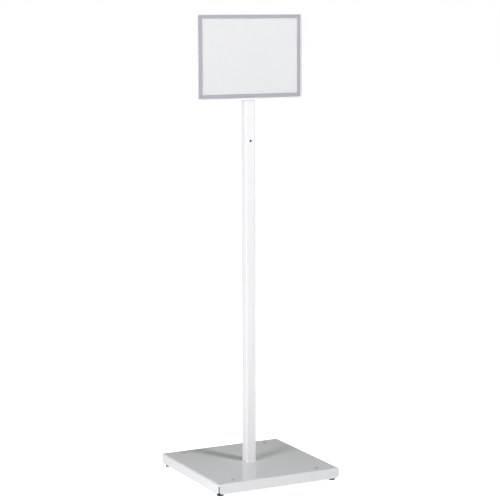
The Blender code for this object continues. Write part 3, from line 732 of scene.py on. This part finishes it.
def make_set_screw():
    """The M6 socket set screw that clamps the spigot."""
    low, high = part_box("clamp_screw")
    length, radius, pitch, socket = high.y - low.y, 3 * MM, 1 * MM, 3 * MM
    hollow = [(1.9 * MM, length), (1.75 * MM, length - 0.2 * MM), (1.75 * MM, length - 2.2 * MM)]
    loops = threaded(radius, pitch, 0, length) + turned(hollow, socket)
    at = (0, high.y, middle("clamp_screw").z)
    piece("set_screw", skin(loops), BLACK_STEEL, "clamp_screw", ["clamp_screw"], at, faces_front=True)


# ---------------------------------------------------------------- head

SPIGOT_CORNER = 2 * MM
DOME_STEPS = 12
DOME_WAIST = 0.93  # the foot of a dome's round, over its nut's width across flats
CARD_GAP = 0.02 * MM  # between the window and the card
CREASE_ROWS = 14

def make_spigot():
    """The head's square tube, drilled across for its two studs."""
    low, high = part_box("spigot_tube")
    heights = [middle(f"head_stud_{label}").z for label in ("lower", "upper")]
    holes = drill(2.7 * MM, low.y - OVERCUT, high.y + OVERCUT, heights)
    blank = tube("spigot_tube", SHEET, SPIGOT_CORNER, 0.25 * MM)
    piece("spigot_box_section", blank, WHITE, "head", ["spigot_tube"], cuts=[holes], edge=0.2 * MM)


def make_cap():
    """The moulded cap in the spigot's upper end."""
    low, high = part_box("spigot_cap")
    plug, head, crown = 1.8 * MM, high.z - 2.7 * MM, 6 * MM
    section = [(plug, low.z), (plug, head), (0, head), (0, high.z - 0.3 * MM), (3 * MM, high.z)]
    section = soften(section, 0.8 * MM) + [(crown, high.z)]
    loops = squared(section, high.x - low.x, SPIGOT_CORNER)
    piece("moulded_cap", skin(loops), WHITE_PLASTIC, "head", ["spigot_cap"])


def make_cap_nuts():
    """The M5 dome nuts on the head's studs."""
    flats, hexed, bore, depth = 8 * MM, 4 * MM, 2.8 * MM, 5 * MM
    corner, face, rise = hex_bevel(flats)
    for label in ("lower", "upper"):
        node = f"head_dome_nut_{label}"
        low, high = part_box(node)
        height = high.y - low.y
        profile = [(bore, -depth), (bore, -0.3 * MM), (3.1 * MM, 0), (face, 0)]
        profile += [(corner, -rise), (corner, -hexed + rise), (face, -hexed)]
        for step in range(1, DOME_STEPS):
            angle = math.pi / 2 * step / DOME_STEPS
            radius = flats / 2 * DOME_WAIST * math.cos(angle)
            profile.append((radius, -hexed - (height - hexed) * math.sin(angle)))
        at = (0, low.y, middle(node).z)
        piece(f"cap_nut_{label}", skin(turned(profile, flats)), ZINC, "head", [node], at, faces_front=True)


def panel(node, corner, edge):
    """An upright panel in a node's place, with rounded edges."""
    low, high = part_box(node)
    centre = ((low.x + high.x) / 2, (low.z + high.z) / 2)
    section = [(edge, high.y), (0, high.y), (0, low.y), (edge, low.y)]
    loops = []
    for inset, y in soften(section, edge, steps=PANEL_STEPS):
        width, height = high.x - low.x - 2 * inset, high.z - low.z - 2 * inset
        loop = rectangle(width, height, max(corner - inset, 0.1 * MM), y, centre)
        loops.append([(x, y, z) for x, z, y in loop])
    return skin(loops)


def frame_outline(side):
    """A strip's mitred outline, in X and Z."""
    low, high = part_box(f"frame_{side}")
    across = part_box("frame_left")[1].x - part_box("frame_left")[0].x
    above, below = (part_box(f"frame_{s}")[1].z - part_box(f"frame_{s}")[0].z for s in ("top", "bottom"))
    if side in ("top", "bottom"):
        outer, inner = (high.z, low.z) if side == "top" else (low.z, high.z)
        return [(low.x, outer), (high.x, outer), (high.x - across, inner), (low.x + across, inner)]
    outer, inner = (low.x, high.x) if side == "left" else (high.x, low.x)
    return [(outer, low.z), (outer, high.z), (inner, high.z - above), (inner, low.z + below)]


def make_sign():
    """The plate, and what the magnetic frame holds on it: the card behind its window, and four strips."""
    # The plate wears the white powder coat painted lighter: a painted highlight.
    piece("sign_plate", panel("head_plate", 3 * MM, 0.5 * MM), PLATE_COAT_PAINTED_LIGHT, "head", ["head_plate"])
    piece("hinge_strip", panel("hinge_band", 0.4 * MM, 0.25 * MM), GREY, "head", ["hinge_band"])
    piece("window_film", panel("cover_window", 0.5 * MM, 0.12 * MM), CLEAR, "cover", ["cover_window"])
    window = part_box("cover_window")
    for side in ("top", "bottom", "left", "right"):
        node = f"frame_{side}"
        blank = prism(frame_outline(side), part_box(node)[0].y, window[0].y, 1)
        piece(f"strip_{side}", blank, GREY, "cover", [node], edge=0.3 * MM)
    low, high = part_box("insert_sheet")
    outline = [(low.x, low.z), (high.x, low.z), (high.x, high.z), (low.x, high.z)]
    card = prism(outline, window[1].y + CARD_GAP, high.y, 1)
    piece("a4_card", card, PAPER, "head", ["insert_sheet"], edge=0.1 * MM)


def make_crease():
    """The film hinge across the gap between the fixed strip and the cover."""
    band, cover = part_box("hinge_band"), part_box("frame_top")
    lap, thickness = 0.7 * MM, 0.1 * MM
    front = band[0].y - 0.02 * MM
    face = front - thickness
    reach = cover[1].x - 0.4 * MM
    top, bottom = band[0].z + lap, cover[1].z - lap
    loops = []
    for k in range(CREASE_ROWS + 1):
        z = bottom + (top - bottom) * k / CREASE_ROWS
        loops.append([(-reach, front, z), (reach, front, z), (reach, face, z), (-reach, face, z)])
    film = mesh_object("crease_film", skin(loops))
    film.data.materials.append(GREY)
    film.data.shade_smooth()
    film.data.set_sharp_from_angle(angle=SHARP_ANGLE)
    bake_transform(film)


make_tray()
make_ballast()
make_ballast_screws()
for corner in CORNERS:
    make_gusset(corner)
    make_foot(corner)
make_post()
make_bolt()
make_flat_washers()
make_spring_washer()
make_bush()
make_set_screw()
make_spigot()
make_cap()
make_cap_nuts()
make_sign()
make_crease()


# ---------------------------------------------------------------- stage

FLOOR_HALF = 30  # metres, to each side
FLOOR_GLOW = 0.24  # what the sign stand gets from the floor's own light
BACKDROP = 1.0  # white, as the camera sees the floor and the room
PAINTED_SHADE_UNDER_TRAY = (172 * MM, 158 * MM)  # where the floor's glow is cut off, a painted shade under the tray: half of its width and depth
UNDER_TRAY_EDGE = 6 * MM
ROOM_GLOW = 0.3  # behind the sign, at floor height
LAMP_DISTANCE = 3.2
LAMP_AIM = Vector((0, 0, 0.6))


class Wiring:
    """Value nodes for the floor and the room."""

    def __init__(self, tree):
        self.nodes = tree.nodes
        self.links = tree.links

    def ramp(self, source, start, end, low, high, kind="SMOOTHSTEP"):
        """Map start..end to low..high."""
        node = self.nodes.new("ShaderNodeMapRange")
        node.interpolation_type = kind
        node.inputs["From Min"].default_value = start
        node.inputs["From Max"].default_value = end
        node.inputs["To Min"].default_value = low
        node.inputs["To Max"].default_value = high
        self.links.new(source, node.inputs["Value"])
        return node.outputs["Result"]

    def combine(self, operation, *sources):
        """A Math node's result for one or two sources."""
        node = self.nodes.new("ShaderNodeMath")
        node.operation = operation
        for i, source in enumerate(sources):
            self.links.new(source, node.inputs[i])
        return node.outputs[0]

    def place(self, kind):
        """X, Y and Z of a texture coordinate."""
        coordinates = self.nodes.new("ShaderNodeTexCoord")
        split = self.nodes.new("ShaderNodeSeparateXYZ")
        self.links.new(coordinates.outputs[kind], split.inputs[0])
        return split.outputs

    def camera_ray(self):
        """1 where the camera looks straight at it, and 0 for all other rays."""
        return self.nodes.new("ShaderNodeLightPath").outputs["Is Camera Ray"]


def make_floor():
    """A pale floor that the lamps light, and that looks white to the camera, but not under the tray, where
    its glow is cut off as painted shade.
    """
    outline = [(-1, -1), (1, -1), (1, 1), (-1, 1)]
    bm = bmesh.new()
    bm.faces.new([bm.verts.new((x * FLOOR_HALF, y * FLOOR_HALF, 0)) for x, y in outline])
    floor = mesh_object("floor", bm)
    material = bpy.data.materials.new("floor")
    material.use_nodes = True
    wiring = Wiring(material.node_tree)
    bsdf = material.node_tree.nodes["Principled BSDF"]
    bsdf.inputs["Base Color"].default_value = (0.85, 0.85, 0.85, 1)
    bsdf.inputs["Roughness"].default_value = 0.9
    bsdf.inputs["Specular IOR Level"].default_value = 0.0
    bsdf.inputs["Emission Color"].default_value = (1, 1, 1, 1)
    glow = wiring.ramp(wiring.camera_ray(), 0, 1, FLOOR_GLOW, BACKDROP, "LINEAR")
    place = wiring.place("Object")
    # Painted shade: under the tray the floor gives no glow, so it looks dark there.
    outside = []
    for axis, reach in zip("XY", PAINTED_SHADE_UNDER_TRAY):
        away = wiring.combine("ABSOLUTE", place[axis])
        outside.append(wiring.ramp(away, reach - UNDER_TRAY_EDGE, reach, 0, 1))
    glow_with_painted_shade = wiring.combine("MULTIPLY", wiring.combine("MAXIMUM", *outside), glow)
    wiring.links.new(glow_with_painted_shade, bsdf.inputs["Emission Strength"])
    floor.data.materials.append(material)


def make_world():
    """White where the camera looks; for the rest, a dark studio with a dim glow low behind the sign."""
    world = bpy.data.worlds.new("studio")
    bpy.context.scene.world = world
    world.use_nodes = True
    nodes, links = world.node_tree.nodes, world.node_tree.links
    nodes.clear()
    wiring = Wiring(world.node_tree)
    place = wiring.place("Generated")
    behind = wiring.ramp(place["Y"], -0.25, 0.25, 0, ROOM_GLOW)
    low_down = wiring.ramp(place["Z"], 0.35, 0.75, 1, 0)
    room = nodes.new("ShaderNodeBackground")
    room.inputs["Color"].default_value = (1, 1, 1, 1)
    links.new(wiring.combine("MULTIPLY", behind, low_down), room.inputs["Strength"])
    backdrop = nodes.new("ShaderNodeBackground")
    backdrop.inputs["Color"].default_value = (1, 1, 1, 1)
    backdrop.inputs["Strength"].default_value = BACKDROP
    mix = nodes.new("ShaderNodeMixShader")
    output = nodes.new("ShaderNodeOutputWorld")
    links.new(wiring.camera_ray(), mix.inputs["Fac"])
    links.new(room.outputs[0], mix.inputs[1])
    links.new(backdrop.outputs[0], mix.inputs[2])
    links.new(mix.outputs[0], output.inputs["Surface"])


def soft_box(name, azimuth, elevation, size, power):
    """A square lamp. Azimuth 0 is in front of the sign, and positive is to its right."""
    data = bpy.data.lights.new(name, "AREA")
    data.shape = "SQUARE"
    data.size = size
    data.energy = power
    lamp = bpy.data.objects.new(name, data)
    a, e = math.radians(azimuth), math.radians(elevation)
    away = Vector((math.sin(a) * math.cos(e), -math.cos(a) * math.cos(e), math.sin(e)))
    lamp.location = LAMP_AIM + away * LAMP_DISTANCE
    lamp.rotation_euler = (-away).to_track_quat("-Z", "Y").to_euler()
    bpy.context.scene.collection.objects.link(lamp)


bpy.context.scene.view_settings.view_transform = "Standard"
make_camera()
make_floor()
make_world()
soft_box("key_right", azimuth=26, elevation=44, size=0.6, power=58)
soft_box("key_left", azimuth=-66, elevation=12, size=1.1, power=80)
soft_box("overhead", azimuth=-20, elevation=80, size=1.6, power=9)
